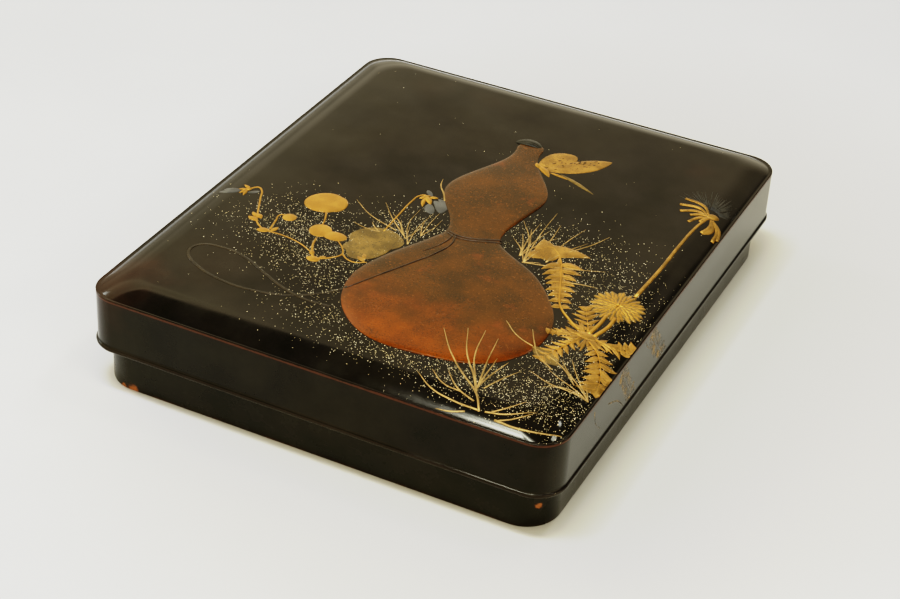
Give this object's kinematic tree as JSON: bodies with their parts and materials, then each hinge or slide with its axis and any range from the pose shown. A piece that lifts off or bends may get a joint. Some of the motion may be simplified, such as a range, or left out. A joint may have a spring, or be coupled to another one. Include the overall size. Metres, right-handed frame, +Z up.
{
  "type": "lacquer writing box",
  "caption": "Low rectangular lacquered wood box: an open tray under a lift-off lid with a softly domed top and overhanging sides, decorated with a gourd and spring plants in gold.",
  "frame": {"origin": "middle of the box's underside, on the surface it stands on", "axes": "+X across the width, +Y along the length from the foot of the picture to its top, +Z up"},
  "size_m": [0.201, 0.2414, 0.046],
  "materials": {
    "tray_lacquer": "thin wood under aged black-brown lacquer, glossy, with worn red-brown edges",
    "lid_lacquer": "thin wood under polished black-brown lacquer, glossy, with worn red-brown edges",
    "gold_lacquer": "gold powder sprinkled on raised lacquer, satin and slightly worn",
    "gourd_lacquer": "raised orange-brown lacquer, mottled, semi-gloss",
    "grey_lacquer": "dull tin and silver powder in lacquer, blue-grey",
    "bare_wood": "bare wood and red ground where the lacquer has chipped"
  },
  "bodies": {
    "root": {"tray": "tray_lacquer", "lid": "lid_lacquer"}
  },
  "joints": []
}
